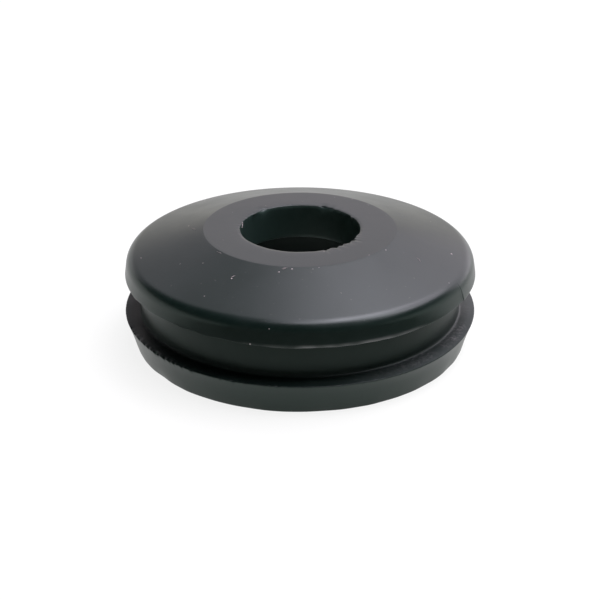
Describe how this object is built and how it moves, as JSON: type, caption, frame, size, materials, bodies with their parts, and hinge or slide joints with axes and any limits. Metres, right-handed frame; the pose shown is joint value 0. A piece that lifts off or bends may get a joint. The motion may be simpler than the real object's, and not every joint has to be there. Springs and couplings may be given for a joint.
{
  "type": "rubber grommet",
  "caption": "Round moulded rubber grommet: a groove grips the edge of a panel hole, a sloping head covers it, and a bore through the flat collar seals on a tube or cable.",
  "frame": {"origin": "centre of the foot ring, on the bore axis, at the level that the grommet rests on", "axes": "+Z along the bore axis, from the foot to the collar; the part is the same all the way round, so X and Y are free"},
  "size_m": [0.0296, 0.0296, 0.0096],
  "materials": {
    "rubber": "matte moulded black rubber with a soft sheen and a little dust"
  },
  "bodies": {
    "root": {"grommet": "rubber"}
  },
  "joints": []
}
